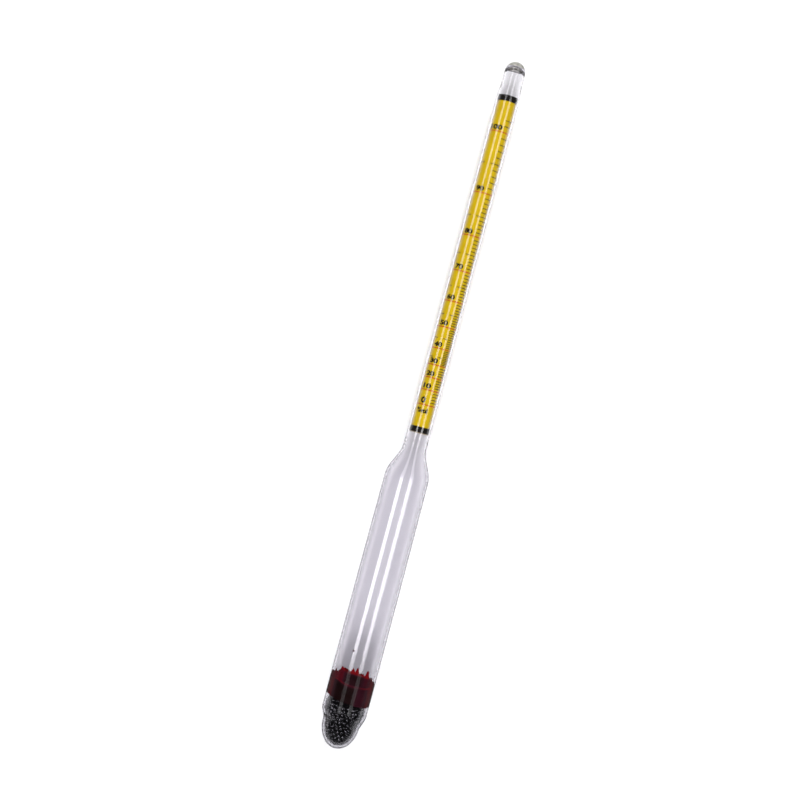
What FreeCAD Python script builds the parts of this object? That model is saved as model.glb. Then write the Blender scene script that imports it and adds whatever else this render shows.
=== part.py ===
import FreeCAD, Part
import math
import os

# An alcohol hydrometer (0 to 100 % by volume), lying on its float bulb.  Millimetres.
#
# Every piece is drawn about the X axis.  "station" is the distance along that axis from the pole of
# the weighted nose (0) to the sealed tip (overall_length).  At the end each piece is moved so that
# the origin is under the middle of the instrument, on the surface that it lies on: +X runs towards
# the tip, +Z is up, and the axis is at the height of the bulb's largest radius.

X_AXIS = FreeCAD.Vector(1, 0, 0)
ORIGIN = FreeCAD.Vector(0, 0, 0)

# ---- driving dimensions ----
overall_length = 267.0

# weighted nose: half an ellipsoid, then a short flat before the step up to the float body
nose_length = 9.4
nose_radius = 7.05
waist_station = 10.4
waist_radius = 7.1

# float body: a straight drawn tube that gets a little slimmer towards the stem
body_start = 14.6
body_taper_start = 60.0
body_end = 105.0
body_radius_low = 8.6
body_radius_high = 8.38

# stem: a straight tube fused to the bulb's neck, drawn in a little before the sealed tip
neck_station = 117.5
stem_radius = 4.4
stem_taper_start = 252.0
tip_station = 259.0
tip_radius = 3.95
tip_dome_length = 4.0

# glass thickness
nose_pole_wall = 1.1
nose_wall = 1.0
shoulder_wall = 0.9
drawn_wall_start = 32.0
body_wall = 0.69
stem_wall = 0.6
tip_bore_radius = 3.3
tip_bore_end = 264.6
tip_bore_dome = 2.6

# alcohol scale on rolled paper inside the stem
scale_zero_station = 133.5
scale_hundred_station = 239.4
scale_zero_margin = 8.4
scale_hundred_margin = 13.95
band_length = 2.2
paper_radius = 3.7
paper_thickness = 0.12
paper_overlap_deg = 50.0
paper_layer_gap = 0.02
band_thickness = 0.05
band_gap = 0.01
glue_length = 0.5
glue_inner_radius = 3.3

# ballast: steel shot locked under a plug of sealing wax
ball_radius = 0.75
ball_gap = 0.01
fit_gap = 0.02
wax_top_station = 25.8
wax_level_station = 19.0
wax_level_slope = 0.17
wax_meniscus_height = 1.0
wax_meniscus_width = 1.6
wax_streak_count = 14
wax_streak_thickness = 0.25
wax_streak_low = 2.0
wax_streak_high = 6.0


def ease(u):
    """0 to 1 with no slope at either end."""
    u = min(max(u, 0.0), 1.0)
    return u * u * (3 - 2 * u)


def dome_radius(station, start, length, radius):
    """Radius of a half ellipsoid whose pole is at start."""
    along = (length - (station - start)) / length
    return radius * math.sqrt(max(1 - along * along, 0.0))


def shoulder_radius(station, low, high):
    """The rounded step from the waist up to the float body."""
    share = (station - waist_station) / (body_start - waist_station)
    return low + (high - low) * ease(max(share, 0.0) ** 0.75)


def body_radius(station):
    """Outer radius of the float body: straight at first, then gently tapered."""
    share = max(station - body_taper_start, 0.0) / (body_end - body_taper_start)
    return body_radius_low + (body_radius_high - body_radius_low) * share


def inner_radius(station):
    """Radius of the hollow, from the nose up to where the drawn wall of the body begins."""
    if station < nose_length:
        return dome_radius(station, nose_pole_wall, nose_length - nose_pole_wall, nose_radius - nose_wall)
    if station < waist_station:
        step = ease((station - nose_length) / (waist_station - nose_length))
        return nose_radius - nose_wall + (waist_radius - nose_radius) * step
    if station < body_start:
        return shoulder_radius(station, waist_radius - nose_wall, body_radius_low - shoulder_wall)
    step = ease((station - body_start) / (drawn_wall_start - body_start))
    return body_radius(station) - shoulder_wall + (shoulder_wall - body_wall) * step


def at(station, radius):
    """A point of an outline, in the plane that is turned about the X axis."""
    return FreeCAD.Vector(station, radius, 0)


def line(start, end):
    return Part.makeLine(at(*start), at(*end))


def s_curve(start, end):
    """An outline that leaves start and reaches end parallel to the axis."""
    middle = (start[0] + end[0]) / 2
    curve = Part.BezierCurve()
    curve.setPoles([at(*start), at(middle, start[1]), at(middle, end[1]), at(*end)])
    return curve.toShape()


def formula_curve(radius, start, end, steps=16):
    """A smooth outline through radius(station) from start to end."""
    stations = [start + (end - start) * i / steps for i in range(steps + 1)]
    curve = Part.BSplineCurve()
    curve.interpolate([at(station, radius(station)) for station in stations])
    return curve.toShape()


def dome_arc(pole, centre, radius):
    """A quarter ellipse from the axis at the station pole to the given radius above the station centre."""
    tip = at(pole, 0)
    rim = at(centre, radius)
    far, near = (tip, rim) if abs(pole - centre) >= radius else (rim, tip)
    return Part.ArcOfEllipse(Part.Ellipse(far, near, at(centre, 0)), 0, math.pi / 2).toShape()


def turned(edges):
    """The solid made by turning a closed outline once about the X axis."""
    wire = Part.Wire(Part.__sortEdges__(edges))
    return Part.Face(wire).revolve(ORIGIN, X_AXIS, 360)


def ring(start, end, inner, outer):
    """A plain sleeve between two stations."""
    corners = [(start, inner), (end, inner), (end, outer), (start, outer)]
    return turned([line(corners[i], corners[(i + 1) % 4]) for i in range(4)])


def float_bulb():
    """Nose, float body and neck: one blown glass shell, open where the stem is fused on."""
    def shoulder(station):
        return shoulder_radius(station, waist_radius, body_radius_low)

    outer = [
        dome_arc(0, nose_length, nose_radius),
        s_curve((nose_length, nose_radius), (waist_station, waist_radius)),
        formula_curve(shoulder, waist_station, body_start),
        line((body_start, body_radius_low), (body_taper_start, body_radius_low)),
        line((body_taper_start, body_radius_low), (body_end, body_radius_high)),
        s_curve((body_end, body_radius_high), (neck_station, stem_radius)),
    ]
    straight_bore = body_radius_low - body_wall
    neck_bore_start = body_end - body_wall
    neck_bore = body_radius_high - body_wall
    inner = [
        dome_arc(nose_pole_wall, nose_length, nose_radius - nose_wall),
        formula_curve(inner_radius, nose_length, waist_station, 4),
        formula_curve(inner_radius, waist_station, body_start),
        formula_curve(inner_radius, body_start, drawn_wall_start, 8),
        line((drawn_wall_start, straight_bore), (body_taper_start, straight_bore)),
        line((body_taper_start, straight_bore), (neck_bore_start, neck_bore)),
        s_curve((neck_bore_start, neck_bore), (neck_station, stem_radius - stem_wall)),
    ]
    fused_end = line((neck_station, stem_radius), (neck_station, stem_radius - stem_wall))
    pole = line((0, 0), (nose_pole_wall, 0))
    return turned(outer + [fused_end] + inner + [pole])


def stem_tube():
    """The straight tube that carries the scale, drawn in slightly at its upper end."""
    bore = stem_radius - stem_wall
    return turned([
        line((neck_station, stem_radius), (stem_taper_start, stem_radius)),
        s_curve((stem_taper_start, stem_radius), (tip_station, tip_radius)),
        line((tip_station, tip_radius), (tip_station, tip_bore_radius)),
        s_curve((tip_station, tip_bore_radius), (stem_taper_start + band_length, bore)),
        line((stem_taper_start + band_length, bore), (neck_station, bore)),
        line((neck_station, bore), (neck_station, stem_radius)),
    ])


def tip_seal():
    """The end of the stem, melted shut: a solid dome over the rounded end of the bore."""
    dome_start = overall_length - tip_dome_length
    bore_dome_start = tip_bore_end - tip_bore_dome
    return turned([
        line((tip_station, tip_radius), (dome_start, tip_radius)),
        dome_arc(overall_length, dome_start, tip_radius),
        line((overall_length, 0), (tip_bore_end, 0)),
        dome_arc(tip_bore_end, bore_dome_start, tip_bore_radius),
        line((bore_dome_start, tip_bore_radius), (tip_station, tip_bore_radius)),
        line((tip_station, tip_bore_radius), (tip_station, tip_radius)),
    ])


paper_start = scale_zero_station - scale_zero_margin - band_length
paper_end = scale_hundred_station + scale_hundred_margin


def scale_paper():
    """The scale strip, rolled into a tube whose edges overlap underneath."""
    turn = 2 * math.pi
    sweep = turn + math.radians(paper_overlap_deg)
    start_angle = -math.pi / 2
    growth = (paper_thickness + paper_layer_gap) / turn
    first_radius = paper_radius - growth * sweep

    def face_curve(offset):
        points = []
        steps = 48
        for i in range(steps + 1):
            angle = sweep * i / steps
            radius = first_radius + growth * angle - offset
            y = radius * math.cos(start_angle + angle)
            z = radius * math.sin(start_angle + angle)
            points.append(FreeCAD.Vector(paper_start, y, z))
        curve = Part.BSplineCurve()
        curve.interpolate(points)
        return curve

    outer = face_curve(0.0)
    inner = face_curve(paper_thickness)
    edges = [outer.toShape(), inner.toShape()]
    edges.append(Part.makeLine(outer.StartPoint, inner.StartPoint))
    edges.append(Part.makeLine(outer.EndPoint, inner.EndPoint))
    face = Part.Face(Part.Wire(Part.__sortEdges__(edges)))
    return face.extrude(FreeCAD.Vector(paper_end - paper_start, 0, 0))


def scale_band(start):
    """A black ring round one end of the scale."""
    inner = paper_radius + band_gap
    return ring(start, start + band_length, inner, inner + band_thickness)


def scale_adhesive():
    """The bead of glue that holds the lower end of the paper to the bore of the stem."""
    bore = stem_radius - stem_wall
    start = paper_start - glue_length - fit_gap
    return ring(start, start + glue_length, glue_inner_radius, bore)


def wax_level(y):
    """Station where shot ends and wax begins, at a distance y from the axis: the plug set on a slant."""
    return wax_level_station + wax_level_slope * y


def wax_streak(index):
    """A thin tongue of wax left on the glass above the plug."""
    spread = wax_streak_high - wax_streak_low
    height = wax_streak_low + spread * (0.5 + 0.5 * math.sin(2.4 * index))
    start = wax_top_station - wax_meniscus_height
    end = wax_top_station + height
    foot = inner_radius(start) - fit_gap
    tongue = Part.Face(Part.makePolygon([
        at(start, foot - wax_streak_thickness),
        at(start, foot),
        at(end, inner_radius(end) - fit_gap),
        at(start, foot - wax_streak_thickness),
    ]))
    width_deg = 360.0 / wax_streak_count * 0.7
    tongue.rotate(ORIGIN, X_AXIS, 360.0 * index / wax_streak_count)
    return tongue.revolve(ORIGIN, X_AXIS, width_deg)


def sealing_wax():
    """The red wax plug: slanted underneath, with a raised rim and streaks up the glass above it."""
    low = waist_station + 3
    crown = wax_top_station - wax_meniscus_height
    wall = inner_radius(wax_top_station) - fit_gap
    plug = turned([
        line((low, 0), (low, inner_radius(low) - fit_gap)),
        formula_curve(lambda s: inner_radius(s) - fit_gap, low, body_start, 10),
        formula_curve(lambda s: inner_radius(s) - fit_gap, body_start, wax_top_station, 4),
        s_curve((crown, wall - wax_meniscus_width), (wax_top_station, wall)),
        line((crown, wall - wax_meniscus_width), (crown, 0)),
        line((crown, 0), (low, 0)),
    ])
    size = 4 * body_radius_low
    below = Part.makeBox(size, size, size, FreeCAD.Vector(-size, -size / 2, -size / 2))
    below.rotate(ORIGIN, FreeCAD.Vector(0, 0, 1), -math.degrees(math.atan(wax_level_slope)))
    below.translate(FreeCAD.Vector(wax_level(0), 0, 0))
    wax = plug.cut(below)
    for index in range(wax_streak_count):
        wax = wax.fuse(wax_streak(index))
    return wax.removeSplitter().Solids[0]


def room_at(station):
    """How far from the axis a ball can stand at a station and still clear the glass."""
    room = float("inf")
    steps = 12
    for i in range(-steps, steps + 1):
        along = ball_radius * i / steps
        if station + along < nose_pole_wall:
            return -1.0
        bulge = math.sqrt(ball_radius ** 2 - along ** 2)
        room = min(room, inner_radius(station + along) - bulge - fit_gap)
    return room


def ring_of_places(station, radius, turn, pitch):
    """Evenly spaced ball centres on a ring about the axis; one centre on the axis for a tiny ring."""
    count = int(2 * math.pi * radius / pitch)
    if count < 3:
        return [FreeCAD.Vector(station, 0, 0)]
    angles = [turn + 2 * math.pi * k / count for k in range(count)]
    return [FreeCAD.Vector(station, radius * math.cos(a), radius * math.sin(a)) for a in angles]


def ballast_shot():
    """Steel balls in layers of concentric rings that fill the nose and the body up to the wax."""
    pitch = 2 * ball_radius + ball_gap
    centres = []
    station = nose_pole_wall + ball_radius + fit_gap
    layer = 0
    while station < wax_level(body_radius_low):
        radius = max(room_at(station), 0.0)
        while radius >= 0:
            centres += ring_of_places(station, radius, math.pi / 2 * (layer % 2), pitch)
            radius -= pitch
        station += pitch
        layer += 1
    reach = ball_radius * math.hypot(1, wax_level_slope) + fit_gap
    under_wax = [c for c in centres if c.x + reach < wax_level(c.y)]
    print(len(under_wax), "balls")
    return Part.makeCompound([Part.makeSphere(ball_radius, c) for c in under_wax])


parts = {
    "float_bulb": float_bulb(),
    "stem_tube": stem_tube(),
    "tip_seal": tip_seal(),
    "scale_paper": scale_paper(),
    "scale_band_lower": scale_band(paper_start),
    "scale_band_upper": scale_band(paper_end - band_length),
    "scale_adhesive": scale_adhesive(),
    "sealing_wax": sealing_wax(),
    "ballast_shot": ballast_shot(),
}

os.makedirs("parts", exist_ok=True)
for name, shape in parts.items():
    shape.translate(FreeCAD.Vector(-overall_length / 2, 0, body_radius_low))
    print(name, shape.ShapeType, len(shape.Solids), shape.isValid(), round(shape.Volume, 2))
    shape.exportStep("parts/" + name + ".step")
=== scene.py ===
import math

import bmesh
import bpy
import numpy as np
from mathutils import Matrix, Vector, noise


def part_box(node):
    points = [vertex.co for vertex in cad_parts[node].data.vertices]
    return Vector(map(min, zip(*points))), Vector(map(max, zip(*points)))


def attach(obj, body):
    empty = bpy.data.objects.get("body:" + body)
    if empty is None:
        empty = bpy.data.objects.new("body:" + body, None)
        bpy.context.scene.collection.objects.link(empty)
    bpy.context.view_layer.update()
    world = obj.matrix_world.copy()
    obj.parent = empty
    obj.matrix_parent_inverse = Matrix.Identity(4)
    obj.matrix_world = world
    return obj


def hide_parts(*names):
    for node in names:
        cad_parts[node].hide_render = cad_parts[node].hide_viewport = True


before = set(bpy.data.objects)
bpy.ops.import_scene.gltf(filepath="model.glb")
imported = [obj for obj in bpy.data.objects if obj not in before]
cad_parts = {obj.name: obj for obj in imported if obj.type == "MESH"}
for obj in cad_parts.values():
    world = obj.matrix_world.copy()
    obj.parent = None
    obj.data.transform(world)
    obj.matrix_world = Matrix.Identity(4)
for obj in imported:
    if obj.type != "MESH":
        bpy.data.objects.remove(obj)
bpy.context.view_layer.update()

# ---------------------------------------------------------------------------
# Sizes, in metres.  A "station" is the distance from the nose's pole along the axis.
# ---------------------------------------------------------------------------
MM = 0.001
FULL_TURN = 2 * math.pi

bulb_low, bulb_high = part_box("float_bulb")
stem_low, stem_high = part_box("stem_tube")
tip_low, tip_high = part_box("tip_seal")
paper_low, paper_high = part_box("scale_paper")
wax_low, wax_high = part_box("sealing_wax")

NOSE_X = bulb_low.x
AXIS_Z = (bulb_low.z + bulb_high.z) / 2
LENGTH = tip_high.x - NOSE_X

BODY_RADIUS = (bulb_high.z - bulb_low.z) / 2
BODY_RADIUS_HIGH = BODY_RADIUS - 0.22 * MM
STEM_RADIUS = (stem_high.z - stem_low.z) / 2
TIP_RADIUS = (tip_high.z - tip_low.z) / 2
NECK = stem_low.x - NOSE_X
TIP_START = tip_low.x - NOSE_X
SEAM_END = NECK + 5 * MM
SEAM_SWELL, SEAM_PINCH = 0.1 * MM, 0.12 * MM

NOSE_LENGTH, NOSE_RADIUS = 9.4 * MM, 7.05 * MM
BODY_START, BODY_TAPER, BODY_END = 14.6 * MM, 60 * MM, 105 * MM
STEM_TAPER, BORE_TAPER = 252 * MM, 254.2 * MM
STEP_POWER, HOLLOW_POWER = 0.9, 1.0
LEAN_STATION, LEAN_REACH, LEAN_SHIFT = 11.0 * MM, 1.6 * MM, 0.6 * MM
SEAL_JOINT, SEAL_GAP = 264.7 * MM, 0.01 * MM
TIP_DOME = 4.0 * MM

POLE_WALL, NOSE_WALL, SHOULDER_WALL = 0.95 * MM, 0.8 * MM, 0.75 * MM
BODY_WALL, DRAWN_WALL_START = 0.69 * MM, 32 * MM
STEM_BORE = STEM_RADIUS - 0.6 * MM
TIP_BORE, TIP_BORE_DOME, TIP_BORE_END = 3.3 * MM, 2.6 * MM, 264.6 * MM
PIN_HOLE = 0.02 * MM

BALL_RADIUS = 0.75 * MM
SHOT_LEVEL, SHOT_SLOPE = 19.4 * MM, 0.1
WAX_TOP = 25.8 * MM

PAPER_RADIUS = (paper_high.y - paper_low.y) / 2
SCALE_ZERO, SCALE_HUNDRED = 133.5 * MM, 239.4 * MM


def on_axis(station, y=0.0, z=0.0):
    """A point of the row frame from a station and the distances from the axis."""
    return Vector((NOSE_X + station, y, AXIS_Z + z))


def ease(u):
    u = np.clip(u, 0.0, 1.0)
    return u * u * (3 - 2 * u)


# ---------------------------------------------------------------------------
# Outlines of the glass
# ---------------------------------------------------------------------------
def stretch(start, end, count):
    """count stations after start, the last of them at end."""
    return [start + (end - start) * (i + 1) / count for i in range(count)]


def dome(pole, rim, radius, count):
    """Points of a quarter ellipse from the pole on the axis to the rim station."""
    angles = [math.pi / 2 * i / count for i in range(count + 1)]
    return [(rim + (pole - rim) * math.cos(a), radius * math.sin(a)) for a in angles]


def shoulder(station, low, high, power):
    """Radius between the nose and the body; a higher power keeps it low for longer."""
    share = max((station - NOSE_LENGTH) / (BODY_START - NOSE_LENGTH), 0.0)
    return low + (high - low) * ease(share ** power)


def body_outer(station):
    share = max(station - BODY_TAPER, 0.0) / (BODY_END - BODY_TAPER)
    return BODY_RADIUS + (BODY_RADIUS_HIGH - BODY_RADIUS) * share


def blend_radius(station, start, end, low, high):
    return low + (high - low) * ease((station - start) / (end - start))


def hollow_radius(station):
    """Radius of the cavity from the nose up to the drawn part of the body."""
    if station < NOSE_LENGTH:
        along = (NOSE_LENGTH - station) / (NOSE_LENGTH - POLE_WALL)
        return (NOSE_RADIUS - NOSE_WALL) * math.sqrt(max(1 - along * along, 0.0))
    if station < BODY_START:
        return shoulder(station, NOSE_RADIUS - NOSE_WALL, BODY_RADIUS - SHOULDER_WALL, HOLLOW_POWER)
    wall = blend_radius(station, BODY_START, DRAWN_WALL_START, SHOULDER_WALL, BODY_WALL)
    return body_outer(station) - wall


def seam(station):
    """Swelling of the glass where the stem was fused on: two soft beads side by side."""
    beads = ((NECK - 1.2 * MM, 0.7 * MM), (NECK + 1.6 * MM, 0.5 * MM))
    return sum(math.exp(-((station - middle) / width) ** 2) for middle, width in beads)


def glass_outer():
    """The outline of the outside, from the nose's pole to the pin hole under the seal."""
    points = dome(0, NOSE_LENGTH, NOSE_RADIUS, 26)
    points += [(s, shoulder(s, NOSE_RADIUS, BODY_RADIUS, STEP_POWER))
               for s in stretch(NOSE_LENGTH, BODY_START, 30)]
    points += [(s, body_outer(s)) for s in stretch(BODY_START, BODY_END, 30)]
    points += [(s, blend_radius(s, BODY_END, NECK, BODY_RADIUS_HIGH, STEM_RADIUS) + SEAM_SWELL * seam(s))
               for s in stretch(BODY_END, NECK, 36)]
    points += [(s, STEM_RADIUS + SEAM_SWELL * seam(s)) for s in stretch(NECK, SEAM_END, 14)]
    points += [(s, STEM_RADIUS) for s in stretch(SEAM_END, STEM_TAPER, 40)]
    points += [(s, blend_radius(s, STEM_TAPER, TIP_START, STEM_RADIUS, TIP_RADIUS))
               for s in stretch(STEM_TAPER, TIP_START, 12)]
    points += [(s, tip_outer(s)) for s in stretch(TIP_START, SEAL_JOINT, 14)]
    return points + [(SEAL_JOINT, PIN_HOLE)]


def glass_inner():
    """The outline of the cavity, from the nose's pole to the pin hole."""
    points = dome(POLE_WALL, NOSE_LENGTH, NOSE_RADIUS - NOSE_WALL, 22)
    points += [(s, hollow_radius(s)) for s in stretch(NOSE_LENGTH, DRAWN_WALL_START, 80)]
    end = BODY_END - BODY_WALL
    points += [(s, body_outer(s) - BODY_WALL) for s in stretch(DRAWN_WALL_START, end, 24)]
    points += [(s, blend_radius(s, end, NECK, BODY_RADIUS_HIGH - BODY_WALL, STEM_BORE) - SEAM_PINCH * seam(s))
               for s in stretch(end, NECK, 36)]
    points += [(s, STEM_BORE - SEAM_PINCH * seam(s)) for s in stretch(NECK, SEAM_END, 14)]
    points += [(s, STEM_BORE) for s in stretch(SEAM_END, BORE_TAPER, 40)]
    points += [(s, blend_radius(s, BORE_TAPER, TIP_START, STEM_BORE, TIP_BORE))
               for s in stretch(BORE_TAPER, TIP_START, 10)]
    points += dome(TIP_BORE_END, TIP_BORE_END - TIP_BORE_DOME, TIP_BORE, 14)[:0:-1]
    return points + [(TIP_BORE_END, PIN_HOLE)]


def tip_outer(station):
    """Radius of the end of the stem, which closes in a dome."""
    along = max(station - (LENGTH - TIP_DOME), 0.0) / TIP_DOME
    return TIP_RADIUS * math.sqrt(max(1 - along * along, 0.0))


def lean(point, angle):
    """Moves a point of the glass where the nose was drawn in: the step comes later on one side (+Y)."""
    station, radius = point
    near = math.exp(-((station - LEAN_STATION) / LEAN_REACH) ** 2)
    return station + LEAN_SHIFT * near * math.cos(angle), radius


# ---------------------------------------------------------------------------
# Mesh helpers
# ---------------------------------------------------------------------------
def make_piece(name, verts, faces, material, slot, replaces=(), smooth=True):
    mesh = bpy.data.meshes.new(name)
    mesh.from_pydata([tuple(v) for v in verts], [], faces)
    mesh.validate()
    mesh.materials.append(material)
    mesh.polygons.foreach_set("use_smooth", [smooth] * len(mesh.polygons))
    piece = bpy.data.objects.new(name, mesh)
    bpy.context.scene.collection.objects.link(piece)
    return finish_piece(piece, replaces)


def finish_piece(piece, replaces=()):
    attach(piece, "root")
    if replaces:
        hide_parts(*replaces)
    return piece


def revolved(points, segments, reshape=None):
    """A closed surface turned from an outline that starts and ends on the axis."""
    verts = [on_axis(points[0][0])]
    for point in points[1:-1]:
        for j in range(segments):
            a = FULL_TURN * j / segments
            station, radius = reshape(point, a) if reshape else point
            verts.append(on_axis(station, radius * math.cos(a), radius * math.sin(a)))
    verts.append(on_axis(points[-1][0]))
    last = len(verts) - 1
    rings = len(points) - 2
    faces = []
    for j in range(segments):
        k = (j + 1) % segments
        faces.append((0, 1 + k, 1 + j))
        for i in range(rings - 1):
            row, above = 1 + i * segments, 1 + (i + 1) * segments
            faces.append((row + j, row + k, above + k, above + j))
        top = 1 + (rings - 1) * segments
        faces.append((last, top + j, top + k))
    return verts, faces


# ---------------------------------------------------------------------------
# Materials
# ---------------------------------------------------------------------------
class Nodes:
    """A short way to build a node material."""

    def __init__(self, name):
        self.material = bpy.data.materials.new(name)
        self.material.use_nodes = True
        self.tree = self.material.node_tree
        self.tree.nodes.clear()
        self.output = self.add("ShaderNodeOutputMaterial")

    def add(self, kind, inputs=None, **settings):
        node = self.tree.nodes.new(kind)
        for key, value in settings.items():
            setattr(node, key, value)
        for key, value in (inputs or {}).items():
            if isinstance(value, bpy.types.NodeSocket):
                self.tree.links.new(value, node.inputs[key])
            else:
                node.inputs[key].default_value = value
        return node

    def ramp(self, fac, stops):
        node = self.add("ShaderNodeValToRGB", {"Fac": fac})
        elements = node.color_ramp.elements
        while len(elements) < len(stops):
            elements.new(0.5)
        for element, (position, colour) in zip(elements, stops):
            element.position = position
            element.color = colour if len(colour) == 4 else (*colour, 1)
        return node.outputs["Color"]

    def coordinates(self, scale=(1, 1, 1)):
        return self.add("ShaderNodeMapping", {"Vector": self.place(), "Scale": scale}).outputs["Vector"]

    def noise(self, scale, detail=3.0, stretch_by=(1, 1, 1), roughness=0.5):
        node = self.add("ShaderNodeTexNoise", {
            "Vector": self.coordinates(stretch_by), "Scale": scale, "Detail": detail, "Roughness": roughness})
        return node.outputs["Fac"]

    def between(self, value, low, high):
        """value, which runs from 0 to 1, spread over low to high."""
        return self.spread(value, 0.0, 1.0, low, high)

    def spread(self, value, start, end, low=0.0, high=1.0):
        """low where value is at start, high where it is at end, and even steps between."""
        node = self.add("ShaderNodeMapRange", {
            "Value": value, "From Min": start, "From Max": end, "To Min": low, "To Max": high})
        return node.outputs["Result"]

    def place(self):
        """The point in the row frame, whose axes every piece shares."""
        return self.add("ShaderNodeTexCoord").outputs["Object"]

    def along(self):
        return self.add("ShaderNodeSeparateXYZ", {0: self.place()}).outputs["X"]

    def bump(self, height, distance, strength=1.0):
        return self.add("ShaderNodeBump", {
            "Height": height, "Distance": distance, "Strength": strength}).outputs["Normal"]

    def mix(self, factor, first, second, kind="MIX"):
        """Two colours mixed; a ShaderNodeMix keeps its colour sockets at 6, 7 and output 2."""
        node = self.add("ShaderNodeMix", {0: factor, 6: first, 7: second}, data_type="RGBA", blend_type=kind)
        return node.outputs[2]

    def surface(self, shader):
        self.tree.links.new(shader, self.output.inputs["Surface"])
        return self.material


def grey(value):
    return (value, value, value)


def let_light_through(n, shader, colour):
    """Light that only passes through the glass goes straight on, so what is behind it is lit evenly."""
    path = n.add("ShaderNodeLightPath")
    clear = n.add("ShaderNodeBsdfTransparent", {"Color": (*colour, 1)}).outputs["BSDF"]
    for ray in ("Is Diffuse Ray", "Is Shadow Ray"):
        shader = n.add("ShaderNodeMixShader", {0: path.outputs[ray], 1: shader, 2: clear}).outputs["Shader"]
    return shader


def glass_material():
    """Clear drawn glass: slightly grey-violet, with painted shade that darkens it at grazing angles,
    strongest in the nose, and faint smears and draw lines.
    """
    n = Nodes("clear_glass")
    smears = n.noise(90, 4, (0.25, 1, 1))
    draw_lines = n.noise(500, 2, (0.01, 1, 1))
    facing = n.add("ShaderNodeLayerWeight", {"Blend": 0.5}).outputs["Facing"]
    along = n.along()

    def past(station, width):
        start = NOSE_X + station
        return n.spread(along, start, start + width)

    # Painted shade: the base colour darkens at grazing angles so that the rims look dark, most of all in the
    # nose; face-on it is the glass's own faint grey-violet.
    nose_tint_and_rim_shade = n.ramp(facing, [(0.15, (0.95, 0.94, 0.965)), (0.7, (0.24, 0.235, 0.26))])
    bulb_tint_and_rim_shade = n.ramp(facing, [(0.35, (0.965, 0.955, 0.975)), (0.85, (0.5, 0.485, 0.53))])
    stem_tint_and_rim_shade = n.ramp(facing, [(0.35, (0.975, 0.97, 0.98)), (0.85, (0.78, 0.77, 0.8))])
    tint_and_rim_shade = n.mix(past(NECK - 4 * MM, 12 * MM), n.mix(past(12 * MM, 8 * MM), nose_tint_and_rim_shade, bulb_tint_and_rim_shade), stem_tint_and_rim_shade)
    cloud = n.ramp(smears, [(0.3, grey(0.96)), (0.7, grey(1.0))])
    shader = n.add("ShaderNodeBsdfPrincipled", {
        "Base Color": n.mix(1.0, tint_and_rim_shade, cloud, "MULTIPLY"),
        "Roughness": n.between(smears, 0.0, 0.004),
        "IOR": 1.5,
        "Transmission Weight": 1.0,
        "Normal": n.bump(draw_lines, 0.002 * MM, 0.12),
    }).outputs["BSDF"]
    absorb = n.add("ShaderNodeVolumeAbsorption", {"Color": (0.6, 0.585, 0.63, 1), "Density": 260.0})
    n.tree.links.new(absorb.outputs["Volume"], n.output.inputs["Volume"])
    return n.surface(let_light_through(n, shader, (0.96, 0.957, 0.964)))


def seal_material():
    """Glass that was melted shut: grey-olive, cloudy, with fine pale seeds."""
    n = Nodes("melted_glass")
    cloud = n.noise(700, 5)
    seeds = n.add("ShaderNodeTexVoronoi", {"Vector": n.coordinates(), "Scale": 1900.0}).outputs["Distance"]
    mixed = n.add("ShaderNodeMath", {0: cloud, 1: n.between(seeds, 0.2, -0.2)}, operation="ADD").outputs[0]
    shader = n.add("ShaderNodeBsdfPrincipled", {
        "Base Color": n.ramp(mixed, [
            (0.36, (0.28, 0.275, 0.24)), (0.56, (0.43, 0.42, 0.375)), (0.68, (0.72, 0.71, 0.66))]),
        "Roughness": n.between(cloud, 0.15, 0.5),
        "IOR": 1.5,
        "Transmission Weight": 0.5,
        "Normal": n.bump(mixed, 0.06 * MM, 0.5),
    }).outputs["BSDF"]
    return n.surface(let_light_through(n, shader, (0.7, 0.7, 0.68)))


def paper_material():
    """Yellow coated paper with fine fibre, slight mottling and a soft sheen."""
    n = Nodes("scale_paper")
    mottle = n.noise(260, 4, (0.6, 1, 1))
    fibre = n.noise(2600, 3, (0.35, 1, 1))
    shader = n.add("ShaderNodeBsdfPrincipled", {
        "Base Color": n.ramp(mottle, [(0.3, (0.58, 0.395, 0.003)), (0.7, (0.66, 0.46, 0.006))]),
        "Roughness": n.between(fibre, 0.12, 0.24),
        "IOR": 1.6,
        "Normal": n.bump(fibre, 0.01 * MM, 0.35),
    })
    return n.surface(shader.outputs["BSDF"])


def ink_material(name, dark, light, roughness):
    """Printed ink, slightly uneven where the paper's tooth shows through."""
    n = Nodes(name)
    wear = n.noise(1800, 3)
    shader = n.add("ShaderNodeBsdfPrincipled", {
        "Base Color": n.ramp(wear, [(0.35, dark), (0.75, light)]),
        "Roughness": n.between(wear, roughness - 0.08, roughness + 0.08),
        "IOR": 1.45,
        "Specular IOR Level": 0.12,
        "Normal": n.bump(wear, 0.004 * MM, 0.3),
    })
    return n.surface(shader.outputs["BSDF"])


def wax_material():
    """Sealing wax: nearly black red in bulk, bright blood red where the film is thin, with a painted
    highlight along its raised rim.
    """
    n = Nodes("red_wax")
    # The film attribute carries the film's redness and also the painted highlight along the raised rim.
    film = n.add("ShaderNodeAttribute", attribute_name="film").outputs["Fac"]
    swirl = n.noise(420, 4, (0.5, 1, 1))
    mixed = n.add("ShaderNodeMath", {0: film, 1: n.between(swirl, -0.16, 0.16)}, operation="ADD")
    colour = n.ramp(mixed.outputs[0], [
        (0.0, (0.005, 0.0006, 0.0007)), (0.4, (0.024, 0.0025, 0.007)), (0.65, (0.075, 0.0015, 0.005)),
        (1.0, (0.14, 0.0015, 0.0035))])
    shader = n.add("ShaderNodeBsdfPrincipled", {
        "Base Color": colour,
        "Roughness": n.between(swirl, 0.22, 0.45),
        "IOR": 1.45,
        "Specular IOR Level": 0.1,
        "Normal": n.bump(swirl, 0.03 * MM, 0.4),
    })
    return n.surface(shader.outputs["BSDF"])


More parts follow.
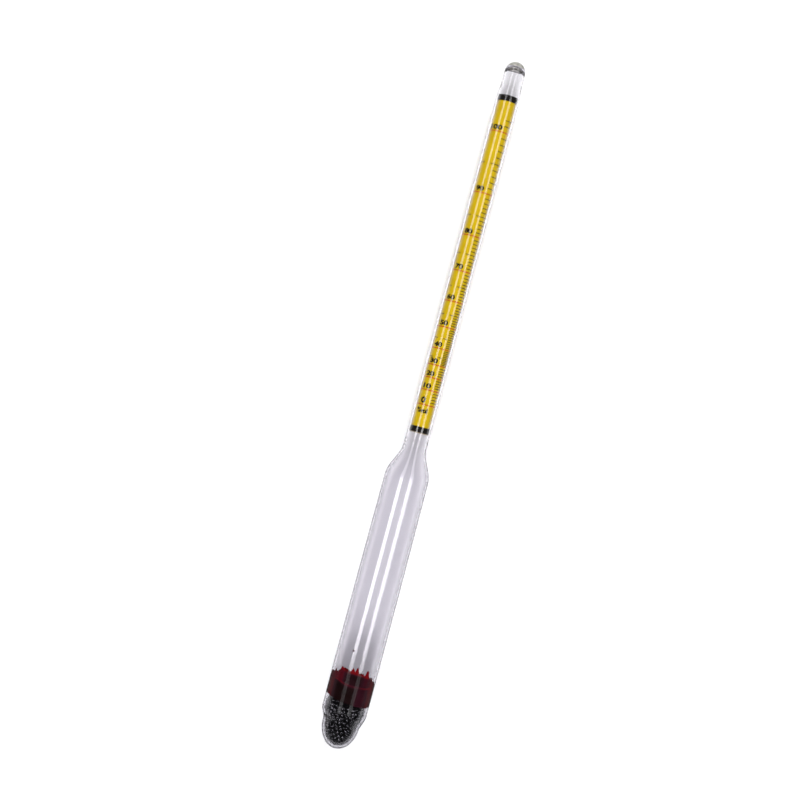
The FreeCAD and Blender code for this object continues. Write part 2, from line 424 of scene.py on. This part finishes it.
def shot_material():
    """Blackened steel: dark, glossy, faintly uneven."""
    n = Nodes("steel_shot")
    tarnish = n.noise(900, 3)
    shader = n.add("ShaderNodeBsdfPrincipled", {
        "Base Color": n.ramp(tarnish, [(0.3, grey(0.17)), (0.75, (0.26, 0.26, 0.275))]),
        "Metallic": 1.0,
        "Roughness": n.between(tarnish, 0.08, 0.18),
        "Specular Tint": (0.02, 0.02, 0.022, 1),
    })
    return n.surface(shader.outputs["BSDF"])


def glue_material():
    n = Nodes("glue")
    cloud = n.noise(900, 3)
    shader = n.add("ShaderNodeBsdfPrincipled", {
        "Base Color": n.ramp(cloud, [(0.3, (0.26, 0.2, 0.12)), (0.7, (0.5, 0.43, 0.3))]),
        "Roughness": n.between(cloud, 0.25, 0.45),
        "IOR": 1.48,
        "Normal": n.bump(cloud, 0.02 * MM, 0.5),
    })
    return n.surface(shader.outputs["BSDF"])


def floor_material():
    """Pale paper, evenly bright far away; the float body mirrors it darker, so that the wax stays deep."""
    n = Nodes("pale_floor")
    cloud = n.noise(3, 3)
    shader = n.add("ShaderNodeBsdfPrincipled", {
        "Base Color": n.ramp(cloud, [(0.3, (0.80, 0.80, 0.81)), (0.7, (0.83, 0.83, 0.84))]),
        "Roughness": 0.9,
        "Specular IOR Level": 0.1,
    }).outputs["BSDF"]
    away = n.add("ShaderNodeVectorMath", {0: n.place()}, operation="LENGTH").outputs["Value"]
    pale = n.add("ShaderNodeEmission", {"Color": (0.95, 0.95, 0.96, 1)}).outputs["Emission"]
    shader = n.add("ShaderNodeMixShader", {0: n.spread(away, 0.4, 0.9), 1: shader, 2: pale}).outputs["Shader"]
    neck_x = NOSE_X + NECK
    under_body = n.ramp(cloud, [(0.3, grey(0.088)), (0.7, grey(0.092))])
    under_stem = n.ramp(cloud, [(0.3, grey(0.6)), (0.7, grey(0.64))])
    shade = n.mix(n.spread(n.along(), neck_x - 5 * MM, neck_x + 10 * MM), under_body, under_stem)
    dim = n.add("ShaderNodeBsdfDiffuse", {"Color": shade}).outputs["BSDF"]
    mirrored = n.add("ShaderNodeLightPath").outputs["Is Reflection Ray"]
    return n.surface(n.add("ShaderNodeMixShader", {0: mirrored, 1: shader, 2: dim}).outputs["Shader"])


# ---------------------------------------------------------------------------
# Glass envelope
# ---------------------------------------------------------------------------
def make_glass(material):
    """Bulb and stem in one shell: up the outside, in through a pin hole at the seal, down the bore."""
    outline = glass_outer() + glass_inner()[::-1]
    verts, faces = revolved(outline, 160, lean)
    piece = make_piece("glass_envelope", verts, faces, material, "clear_glass", ("float_bulb", "stem_tube"))
    mark_sharp(piece.data, math.radians(60))
    return piece


def make_seal(material):
    """The melted end of the stem, a solid cap above the bore."""
    start = SEAL_JOINT + SEAL_GAP
    rim = LENGTH - TIP_DOME
    widest = math.acos((start - rim) / TIP_DOME)
    outline = [(rim + TIP_DOME * math.cos(a), TIP_RADIUS * math.sin(a)) for a in np.linspace(0, widest, 20)]
    outline[0] = (LENGTH, 0.0)
    verts, faces = revolved(outline + [(start, 0.0)], 96)
    piece = make_piece("melted_tip", verts, faces, material, "melted_glass", ("tip_seal",))
    mark_sharp(piece.data, math.radians(60))
    return piece


# ---------------------------------------------------------------------------
# Shot: balls that settle against each other and the glass
# ---------------------------------------------------------------------------
def ball_room(stations):
    """For each station, how far from the axis a ball's centre may lie."""
    steps = np.linspace(-1, 1, 15)
    room = []
    for s in stations:
        gaps = [hollow_radius(s + BALL_RADIUS * k) - BALL_RADIUS * math.sqrt(1 - k * k) for k in steps]
        room.append(min(gaps))
    return np.array(room)


def loose_shot(rng, lowest, table, room):
    """A shaken-up grid of centres that fills the nose to a little above the slanted level."""
    pitch = 2.16 * BALL_RADIUS
    pos = []
    for i in range(18):
        for j in range(-8, 9):
            for k in range(-8, 9):
                spot = np.array([lowest + 0.816 * pitch * i, pitch * (j + 0.5 * (k % 2) + 0.3 * (i % 2)),
                                 pitch * (0.866 * k + 0.29 * (i % 2))])
                spot += rng.uniform(-0.16, 0.16, 3) * BALL_RADIUS
                away = math.hypot(spot[1], spot[2])
                top = SHOT_LEVEL + SHOT_SLOPE * spot[1] + 0.4 * MM
                if away < np.interp(spot[0], table, room) and spot[0] < top:
                    pos.append(spot)
    return np.array(pos)


def settled_shot():
    """Centres as station, y, z: the loose shot sinks to the nose while the balls push each other apart."""
    rng = np.random.default_rng(7)
    lowest = POLE_WALL + BALL_RADIUS
    table = np.linspace(lowest, 30 * MM, 400)
    room = np.maximum(ball_room(table), 0.02 * MM)
    pos = loose_shot(rng, lowest, table, room)
    down = np.array([-1.0, 0.5 * SHOT_SLOPE, 0.0])
    rounds, passes = 60, 8
    for r in range(rounds):
        gap = pos[:, None, :] - pos[None, :, :]
        first, second = np.nonzero(np.triu((gap ** 2).sum(-1) < (2.6 * BALL_RADIUS) ** 2, 1))
        for _ in range(passes):
            pos += down * 0.012 * MM * max(1 - 1.25 * r / rounds, 0.0)
            gap = pos[first] - pos[second]
            dist = np.maximum(np.sqrt((gap ** 2).sum(-1)), 1e-7)
            push = 0.5 * gap / dist[:, None] * np.maximum(2 * BALL_RADIUS - dist, 0.0)[:, None]
            np.add.at(pos, first, push)
            np.add.at(pos, second, -push)
            pos[:, 0] = np.maximum(pos[:, 0], lowest)
            away = np.hypot(pos[:, 1], pos[:, 2])
            limit = np.interp(pos[:, 0], table, room)
            pos[:, 1:] *= np.where(away > limit, limit / np.maximum(away, 1e-9), 1.0)[:, None]
    return pos


def make_shot(material, centres):
    ball = bmesh.new()
    bmesh.ops.create_icosphere(ball, subdivisions=3, radius=BALL_RADIUS)
    shape = [v.co.copy() for v in ball.verts]
    corners = [[v.index for v in f.verts] for f in ball.faces]
    ball.free()
    verts, faces = [], []
    for station, y, z in centres:
        base = len(verts)
        middle = on_axis(station, y, z)
        verts += [middle + v for v in shape]
        faces += [[base + i for i in f] for f in corners]
    return make_piece("ballast_balls", verts, faces, material, "steel_shot", ("ballast_shot",))


# ---------------------------------------------------------------------------
# Wax plug
# ---------------------------------------------------------------------------
PLUG_SINK = 1.1 * MM
RIM_LIFT, RIM_LIFT_DEGREES = 1.1 * MM, -48
SPECK_STATION, SPECK_DEGREES, SPECK_RADIUS = 38.6 * MM, -18.6, 0.42 * MM


def ragged(angle, seed, scale):
    """Noise round the axis, from -1 to 1, the same after a full turn."""
    return noise.noise(Vector((scale * math.cos(angle), scale * math.sin(angle), seed)))


# Height in mm of the film's torn edge above the plug at angles in degrees; the side that faces up first.
FILM_EDGE = (
    (-180, 1.4), (-150, 3.0), (-120, 1.6), (-90, 2.4), (-74, 3.3), (-64, 2.8), (-58, 4.8), (-53, 3.5),
    (-45, 3.4), (-41, 5.4), (-38, 6.2), (-33, 5.8), (-24, 4.5), (-15, 4.4), (-10, 5.7), (-7, 6.8), (-4, 6.2),
    (0, 5.1), (3, 7.2), (5, 7.4), (9, 6.2), (12, 4.8), (18, 4.4), (22, 5.6), (25, 4.9), (29, 4.9), (31, 6.3),
    (34, 6.8), (38, 6.3), (42, 4.5), (49, 3.5), (53, 3.3), (56, 4.1), (60, 2.8), (64, 2.5), (68, 3.3),
    (73, 1.8), (90, 0.8), (115, 2.6), (140, 1.2), (160, 2.2), (180, 1.4))


def wax_edge(degrees):
    """How far the wax film reaches above the plug, at an angle that grows towards -Y from the top."""
    angle = math.radians(degrees)
    ripple = 0.3 * ragged(angle, 8.4, 9.0) + 0.25 * ragged(angle, 14.9, 26.0)
    return (float(np.interp(degrees, *zip(*FILM_EDGE))) + ripple) * MM


def wax_shade(degrees, height, below_edge):
    """0 where the wax is thick to 1 where it is bright red: in the painted highlight along the raised rim and
    in the tongues of the film.
    """
    side = abs(math.sin(math.radians(degrees)))
    uneven = 0.5 + 0.5 * ragged(math.radians(degrees), 33.0, 4.0)
    # Painted highlight: a bright red line along the raised rim, stronger towards the sides.
    rim = 0.45 + 0.5 * min(1.6 * side, 1.0) * uneven
    rim_highlight = rim * math.exp(-((height + 0.1 * MM) / (0.55 * MM)) ** 2)
    border = 0.65 * float(ease((side - 0.6) / 0.3))
    if height < 0:
        gap_on_right = 0.36 * float(ease((degrees - 8) / 14)) * (degrees < 120)
        return max(rim_highlight, border, gap_on_right)
    thin = 0.08 + (0.5 if degrees < 0 else 0.32) * float(ease((side - 0.25) / 0.3))
    film = max(thin, border) * float(ease(height / (0.5 * MM)))
    tongue = float(ease((height - (2.1 + 1.6 * (1 - side * side)) * MM) / (1.3 * MM)))
    edge = 0.6 * float(ease(1 - below_edge / (0.6 * MM)))
    return max(rim_highlight, film, tongue, edge)


def wax_speck(base):
    """A drop that splashed onto the bore above the plug, flattened against the glass."""
    station, angle = SPECK_STATION, math.radians(SPECK_DEGREES)
    middle = paper_point(station, angle, hollow_radius(station) - 0.1 * MM)
    out = paper_point(station, angle, 1.0) - paper_point(station, angle, 0.0)
    drop = bmesh.new()
    bmesh.ops.create_icosphere(drop, subdivisions=3, radius=SPECK_RADIUS)
    verts = []
    for v in drop.verts:
        wobble = 1 + 0.25 * noise.noise(v.co * 3000)
        verts.append(middle + (v.co - out * v.co.dot(out) * 0.72) * wobble)
    faces = [[base + v.index for v in f.verts] for f in drop.faces]
    drop.free()
    return verts, faces


def make_wax(material):
    """The plug, its raised rim and the film above it, as columns of points round the axis."""
    segments, up_steps, across_steps = 540, 56, 10
    contact = 0.015 * MM
    base = SHOT_LEVEL - 0.8 * MM
    verts, film = [on_axis(base)], [0.0]
    columns = []
    for j in range(segments):
        degrees = 360.0 * j / segments - 180.0
        angle = math.radians(degrees)
        level = SHOT_LEVEL - SHOT_SLOPE * BODY_RADIUS * math.sin(angle)
        foot = level - 0.35 * MM + 0.45 * MM * ragged(angle, 21.0, 14.0)
        lift = RIM_LIFT * math.exp(-((degrees - RIM_LIFT_DEGREES) / 24) ** 2)
        ring = WAX_TOP + 0.2 * MM * ragged(angle, 27.0, 3.0) + lift
        top = WAX_TOP + max(wax_edge(degrees), 0.6 * MM)
        column = []

        def put(station, radius, shade):
            column.append(len(verts))
            verts.append(paper_point(station, angle, radius))
            film.append(shade)

        for i in range(5):
            share = (i + 1) / 5
            put(base + (foot - base) * share, (hollow_radius(foot) - 0.6 * MM) * share, 0.0)
        for i in range(up_steps + 1):
            station = foot + (top - foot) * i / up_steps
            put(station, hollow_radius(station) + contact, wax_shade(degrees, station - ring, top - station))
        for i in range(14):
            share = (i + 1) / 14
            station = top + (ring - top) * share
            depth = 0.04 * MM + 0.3 * MM * share ** 1.5
            put(station, hollow_radius(station) - depth, 1.0 - 0.6 * share)
        for i in range(across_steps):
            share = (i + 1) / (across_steps + 1)
            radius = (hollow_radius(WAX_TOP) - 0.4 * MM) * (1 - share)
            put(ring + (WAX_TOP - ring) * share - PLUG_SINK * float(ease(share * 3.2)), radius, 0.12)
        columns.append(column)
    verts.append(on_axis(WAX_TOP - PLUG_SINK))
    film.append(0.12)
    last = len(verts) - 1
    faces = []
    for j in range(segments):
        here, there = columns[j], columns[(j + 1) % segments]
        faces.append((0, here[0], there[0]))
        for i in range(len(here) - 1):
            faces.append((here[i], here[i + 1], there[i + 1], there[i]))
        faces.append((last, there[-1], here[-1]))
    speck_verts, speck_faces = wax_speck(len(verts))
    verts += speck_verts
    faces += speck_faces
    film += [0.45] * len(speck_verts)
    piece = make_piece("wax_plug", verts, faces, material, "red_wax", ("sealing_wax",))
    attribute = piece.data.attributes.new("film", "FLOAT", "POINT")
    attribute.data.foreach_set("value", film)
    return piece


# ---------------------------------------------------------------------------
# Paper scale
# ---------------------------------------------------------------------------
PAPER_THICK, PAPER_OVERLAP = 0.12 * MM, math.radians(50)
TICK_WIDTH, FIVE_WIDTH, TEN_WIDTH = 0.3 * MM, 0.28 * MM, 0.36 * MM
NUMERAL_DEGREES, NUMERAL_RISE, NUMERAL_BOLD = -25, 0.55 * MM, 0.055
INK_LIFT = 0.006 * MM
INK_THICK = 0.006 * MM
SPIRIT_DENSITY = (1.0, 0.9865, 0.9753, 0.9640, 0.9498, 0.9318, 0.9108, 0.8871, 0.8608, 0.8308, 0.7907)
STEM_BEND = 0.035  # how far the even steps bow towards the tip, as a share of the scale


def scale_station(percent):
    """Where the liquid surface stands on the stem at a strength in percent: even steps of 1 / density."""
    volume = [1 / d for d in SPIRIT_DENSITY]
    volume = [2 * volume[0] - volume[1]] + volume + [2 * volume[-1] - volume[-2]]
    i = min(max(int(percent // 10), 0), 9)
    t = percent / 10 - i
    p0, p1, p2, p3 = volume[i:i + 4]
    bend = (2 * p0 - 5 * p1 + 4 * p2 - p3) * t * t + (3 * p1 - p0 - 3 * p2 + p3) * t ** 3
    value = p1 + 0.5 * ((p2 - p0) * t + bend)
    share = (value - 1) / (1 / SPIRIT_DENSITY[-1] - 1)
    return SCALE_ZERO + (SCALE_HUNDRED - SCALE_ZERO) * (share + STEM_BEND * share * (1 - share))


def paper_point(station, angle, radius):
    """Angle 0 faces up; it grows towards -Y, which is rightwards for a reader with the tip upwards."""
    return on_axis(station, -radius * math.sin(angle), radius * math.cos(angle))


def make_paper(material):
    """A rolled strip whose edges overlap on the underside."""
    start, end = paper_low.x - NOSE_X, paper_high.x - NOSE_X
    steps, rows = 150, 60
    outline = []
    for k in range(steps + 1):
        share = k / steps
        angle = math.pi + (FULL_TURN + PAPER_OVERLAP) * share
        tuck = (PAPER_THICK + 0.02 * MM) * (1 - ease((share - 0.06) / 0.16))
        outline.append((angle, PAPER_RADIUS - tuck))
    ring = outline + [(a, r - PAPER_THICK) for a, r in reversed(outline)]
    verts, faces = [], []
    for i in range(rows + 1):
        station = start + (end - start) * i / rows
        verts += [paper_point(station, a, r) for a, r in ring]
    count = len(ring)
    for i in range(rows):
        for k in range(count):
            m = (k + 1) % count
            faces.append((i * count + k, i * count + m, (i + 1) * count + m, (i + 1) * count + k))
    for i in (0, rows):
        for k in range(steps):
            a, b = i * count + k, i * count + k + 1
            c, d = i * count + count - 2 - k, i * count + count - 1 - k
            faces.append((a, b, c, d) if i else (d, c, b, a))
    piece = make_piece("rolled_scale_paper", verts, faces, material, "scale_paper", ("scale_paper",))
    mark_sharp(piece.data)
    return piece


def mark_sharp(mesh, angle=math.radians(35)):
    shape = bmesh.new()
    shape.from_mesh(mesh)
    bmesh.ops.recalc_face_normals(shape, faces=shape.faces)
    for edge in shape.edges:
        edge.smooth = len(edge.link_faces) == 2 and edge.calc_face_angle() < angle
    shape.to_mesh(mesh)
    shape.free()


def ink_patch(station_low, station_high, angle_low, angle_high, base):
    """A thin curved bar of ink; returns its vertices and faces, numbered from base."""
    steps = max(int(math.degrees(angle_high - angle_low) / 4), 1)
    low, high = PAPER_RADIUS + INK_LIFT, PAPER_RADIUS + INK_LIFT + INK_THICK
    verts, faces = [], []
    for k in range(steps + 1):
        a = angle_low + (angle_high - angle_low) * k / steps
        verts += [paper_point(s, a, r) for s, r in
                  ((station_low, low), (station_high, low), (station_high, high), (station_low, high))]
    for k in range(steps):
        for m in range(4):
            p, q = base + 4 * k + m, base + 4 * k + (m + 1) % 4
            faces.append((p, p + 4, q + 4, q))
    faces.append((base, base + 1, base + 2, base + 3))
    end = base + 4 * steps
    faces.append((end + 3, end + 2, end + 1, end))
    return verts, faces


def make_marks(name, bars, material):
    """One piece from a list of (station, width, first angle, last angle) bars, angles in degrees."""
    verts, faces = [], []
    for station, width, first, last in bars:
        v, f = ink_patch(station - width / 2, station + width / 2, math.radians(first), math.radians(last),
                         len(verts))
        verts += v
        faces += f
    return make_piece(name, verts, faces, material, "scale_paper", smooth=False)


def tick_bars():
    """Marks between the tens: every 2 % up to 30 %, then every 1 % with longer ones at the fives."""
    bars = []
    for percent in range(0, 103):
        station = scale_station(percent)
        if percent % 10 and (percent > 30 or percent % 2 == 0):
            bars.append((station, TICK_WIDTH, 20, 104))
            bars.append((station, TICK_WIDTH, -98, -66))
        if percent % 10 == 5 and percent > 30:
            bars.append((station, FIVE_WIDTH, -70, -37))
            bars.append((station, FIVE_WIDTH, -5, 17))
    return bars


def ten_bars():
    return [(scale_station(percent), TEN_WIDTH, -98, 104) for percent in range(0, 101, 10)]


def text_mesh(text, size, bold):
    """A flat outline of the text as bmesh, with its lower edge at v = 0 and its middle at u = 0."""
    curve = bpy.data.curves.new("text", "FONT")
    curve.body = text
    curve.size = size
    curve.offset = bold
    curve.resolution_u = 4
    curve.align_x = "CENTER"
    holder = bpy.data.objects.new("text", curve)
    bpy.context.scene.collection.objects.link(holder)
    bpy.context.view_layer.update()
    mesh = bpy.data.meshes.new_from_object(holder)
    shape = bmesh.new()
    shape.from_mesh(mesh)
    bpy.data.objects.remove(holder)
    bpy.data.curves.remove(curve)
    bpy.data.meshes.remove(mesh)
    return shape


def wrapped_text(text, station, angle, height, width, bold, base):
    """The text scaled to height and width, cut into narrow strips and rolled round the paper."""
    shape = text_mesh(text, 1.0, bold)
    us = [v.co.x for v in shape.verts]
    vs = [v.co.y for v in shape.verts]
    u_scale, v_scale = width / (max(us) - min(us)), height / (max(vs) - min(vs))
    middle, bottom = (max(us) + min(us)) / 2, min(vs)
    for v in shape.verts:
        v.co = ((v.co.x - middle) * u_scale, (v.co.y - bottom) * v_scale, 0)
    strip = 0.16 * MM
    cut = -width / 2
    while cut < width / 2:
        everything = shape.verts[:] + shape.edges[:] + shape.faces[:]
        bmesh.ops.bisect_plane(shape, geom=everything, plane_co=(cut, 0, 0), plane_no=(1, 0, 0), dist=1e-7)
        cut += strip
    bmesh.ops.remove_doubles(shape, verts=shape.verts, dist=1e-7)
    shape.verts.index_update()
    radius = PAPER_RADIUS + INK_LIFT
    verts, faces = [], []
    count = len(shape.verts)
    for r in (radius + INK_THICK, radius):
        for v in shape.verts:
            verts.append(paper_point(station + v.co.y, angle + v.co.x / PAPER_RADIUS, r))
    for f in shape.faces:
        ring = [v.index for v in f.verts]
        faces.append([base + i for i in ring])
        faces.append([base + count + i for i in reversed(ring)])
    for e in shape.edges:
        if len(e.link_faces) == 1:
            loop = e.link_loops[0]
            a, b = loop.vert.index, loop.link_loop_next.vert.index
            faces.append([base + b, base + a, base + count + a, base + count + b])
    shape.free()
    return verts, faces


def make_numerals(material):
    """The tens beside their lines, a larger 0, and the unit below it."""
    words = [("0", scale_station(0) + NUMERAL_RISE, NUMERAL_DEGREES, 2.4 * MM, 1.8 * MM)]
    for percent in range(10, 101, 10):
        text = str(percent)
        station = scale_station(percent) + NUMERAL_RISE
        words.append((text, station, NUMERAL_DEGREES, 1.95 * MM, 1.55 * MM * len(text)))
    words.append(("%vol", SCALE_ZERO - 3.2 * MM, -17, 2.0 * MM, 4.0 * MM))
    verts, faces = [], []
    for text, station, degrees, height, width in words:
        v, f = wrapped_text(text, station, math.radians(degrees), height, width, NUMERAL_BOLD, len(verts))
        verts += v
        faces += f
    return make_piece("scale_numerals", verts, faces, material, "black_band", smooth=False)


def make_band(name, node, material):
    """A black ring round one end of the paper, with softened edges."""
    low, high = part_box(node)
    start, end = low.x - NOSE_X, high.x - NOSE_X
    outer, inner = (high.z - low.z) / 2, PAPER_RADIUS + 0.004 * MM
    soft = 0.03 * MM
    profile = [(start, inner), (start, outer - soft), (start + soft, outer), (end - soft, outer),
               (end, outer - soft), (end, inner)]
    return make_piece(name, *swept_ring(profile, 120), material, "black_band", (node,), smooth=False)


def swept_ring(profile, segments):
    """A closed ring with the given profile of (station, radius) points."""
    verts, faces = [], []
    count = len(profile)
    for j in range(segments):
        a = FULL_TURN * j / segments
        verts += [on_axis(s, r * math.cos(a), r * math.sin(a)) for s, r in profile]
    for j in range(segments):
        k = (j + 1) % segments
        for m in range(count):
            q = (m + 1) % count
            faces.append((j * count + m, k * count + m, k * count + q, j * count + q))
    return verts, faces


def make_glue(material):
    """The uneven bead of glue below the lower band."""
    low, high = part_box("scale_adhesive")
    end = high.x - NOSE_X
    segments = 120
    verts, faces = [], []
    points = 8
    for j in range(segments):
        a = FULL_TURN * j / segments
        depth = (0.30 + 0.18 * ragged(a, 5.0, 2.0) + 0.08 * ragged(a, 9.0, 7.0)) * MM
        for m in range(points):
            t = math.pi * m / (points - 1)
            station = end - depth * math.sin(t)
            radius = STEM_BORE - 0.02 * MM - 0.42 * MM * (1 - math.cos(t)) / 2
            verts.append(on_axis(station, radius * math.cos(a), radius * math.sin(a)))
    for j in range(segments):
        k = (j + 1) % segments
        for m in range(points):
            q = (m + 1) % points
            faces.append((j * points + m, j * points + q, k * points + q, k * points + m))
    return make_piece("glue_bead", verts, faces, material, "glue", ("scale_adhesive",))


# ---------------------------------------------------------------------------
# Stage, light and camera
# ---------------------------------------------------------------------------
FLOOR_REACH = 3.0
STRIP_DISTANCE, STRIP_WIDTH = 0.74, 0.24
STRIPS = (("left_strip", -26, 4.4), ("right_strip", 27, 4.2))
FADE_STATION, SCALE_STATION, STRIP_END = 31 * MM, 126 * MM, 277 * MM
FAR_REACH = 1.15
CAMERA_HEIGHT, CAMERA_LENS, CAMERA_SENSOR = 0.4745, 56.7, 36.0
CAMERA_STATION, CAMERA_ASIDE, CAMERA_TURN = 132.822 * MM, 9.9795 * MM, math.radians(14.96)


def make_floor():
    size = FLOOR_REACH
    mesh = bpy.data.meshes.new("floor")
    corners = [(-size, -size, 0), (size, -size, 0), (size, size, 0), (-size, size, 0)]
    mesh.from_pydata(corners, [], [(0, 1, 2, 3)])
    mesh.materials.append(floor_material())
    floor = bpy.data.objects.new("floor", mesh)
    bpy.context.scene.collection.objects.link(floor)


def make_soft_box(name, back, middle, length, width, radiance):
    """A rectangular light at middle that shines against the direction back."""
    light = bpy.data.lights.new(name, "AREA")
    light.shape = "RECTANGLE"
    light.size = length
    light.size_y = width
    light.energy = radiance * math.pi * length * width
    lamp = bpy.data.objects.new(name, light)
    bpy.context.scene.collection.objects.link(lamp)
    first = Vector((1, 0, 0)) if abs(back.x) < 0.01 else Vector((0, 1, 0))
    lamp.matrix_world = Matrix((first, back.cross(first), back)).transposed().to_4x4()
    lamp.location = Vector((0, 0, AXIS_Z)) + middle
    lamp.visible_camera = False
    return lamp


def strip_x(station):
    """Where along X a strip must be for its streak to show at a station, seen from the camera."""
    return (NOSE_X + station) * (1 + STRIP_DISTANCE / CAMERA_HEIGHT)


def make_lights():
    """Two long strips over the instrument, weaker over stem and nose, and a fill box beyond either end."""
    for name, degrees, radiance in STRIPS:
        angle = math.radians(degrees)
        back = Vector((0, -math.sin(angle), math.cos(angle)))
        spans = ((name, strip_x(FADE_STATION), strip_x(SCALE_STATION), 1.0),
                 (name + "_head", strip_x(SCALE_STATION), strip_x(STRIP_END), 0.55),
                 (name + "_tail", strip_x(8 * MM), strip_x(FADE_STATION), 0.14),
                 (name + "_far", strip_x(STRIP_END), FAR_REACH, 0.6))
        for part, start, end, share in spans:
            middle = back * STRIP_DISTANCE + Vector(((start + end) / 2, 0, 0))
            box = make_soft_box(part, back, middle, end - start, STRIP_WIDTH, share * radiance)
            box.visible_diffuse = not part.endswith("_far")
    for name, side in (("tip_box", 1), ("nose_box", -1)):
        back = Vector((side * 0.75, 0, 0.66)).normalized()
        box = make_soft_box(name, back, back * 0.95, 0.4, 0.6, 12.0)
        box.visible_glossy = box.visible_transmission = False


def make_world():
    """A pale room, kept dim in what the glass mirrors and in the light that it sheds."""
    world = bpy.data.worlds.new("studio")
    world.use_nodes = True
    tree = world.node_tree
    where = tree.nodes.new("ShaderNodeTexCoord")
    split = tree.nodes.new("ShaderNodeSeparateXYZ")
    ramp = tree.nodes.new("ShaderNodeValToRGB")
    ramp.color_ramp.elements[0].position = 0.02
    ramp.color_ramp.elements[0].color = (0.17, 0.17, 0.176, 1)
    ramp.color_ramp.elements[1].position = 0.32
    ramp.color_ramp.elements[1].color = (0.035, 0.035, 0.038, 1)
    seen = tree.nodes.new("ShaderNodeMix")
    seen.data_type = "RGBA"
    seen.inputs[7].default_value = (0.9, 0.9, 0.91, 1)
    path = tree.nodes.new("ShaderNodeLightPath")
    tree.links.new(where.outputs["Generated"], split.inputs[0])
    tree.links.new(split.outputs["Z"], ramp.inputs["Fac"])
    tree.links.new(path.outputs["Is Camera Ray"], seen.inputs["Factor"])
    tree.links.new(ramp.outputs["Color"], seen.inputs[6])
    tree.links.new(seen.outputs[2], tree.nodes["Background"].inputs["Color"])
    bpy.context.scene.world = world


def make_camera():
    """Straight above, with the tip leaning right of upwards as the instrument lies in the frame."""
    camera = bpy.data.cameras.new("camera")
    camera.sensor_width = CAMERA_SENSOR
    camera.lens = CAMERA_LENS
    camera.clip_start = 0.01
    holder = bpy.data.objects.new("camera", camera)
    bpy.context.scene.collection.objects.link(holder)
    right = Vector((math.sin(CAMERA_TURN), -math.cos(CAMERA_TURN), 0))
    up = Vector((math.cos(CAMERA_TURN), math.sin(CAMERA_TURN), 0))
    back = Vector((0, 0, 1))
    holder.matrix_world = Matrix((right, up, back)).transposed().to_4x4()
    holder.location = on_axis(CAMERA_STATION, CAMERA_ASIDE, CAMERA_HEIGHT)
    bpy.context.scene.camera = holder


clear = glass_material()
black_ink = ink_material("black_ink", (0.003, 0.0025, 0.002), (0.009, 0.007, 0.004), 0.4)
brown_ink = ink_material("brown_ink", (0.012, 0.007, 0.002), (0.03, 0.017, 0.004), 0.5)
red_ink = ink_material("red_ink", (0.38, 0.02, 0.004), (0.5, 0.035, 0.006), 0.5)
band_black = ink_material("band_black", (0.005, 0.004, 0.0035), (0.012, 0.01, 0.007), 0.35)

make_glass(clear)
make_seal(seal_material())
make_paper(paper_material())
make_band("lower_black_band", "scale_band_lower", band_black)
make_band("upper_black_band", "scale_band_upper", band_black)
make_marks("ten_lines", ten_bars(), red_ink)
make_marks("unit_ticks", tick_bars(), brown_ink)
make_numerals(black_ink)
make_glue(glue_material())
make_wax(wax_material())
make_shot(shot_material(), settled_shot())

make_floor()
make_world()
make_lights()
make_camera()
bpy.context.scene.view_settings.view_transform = "Standard"
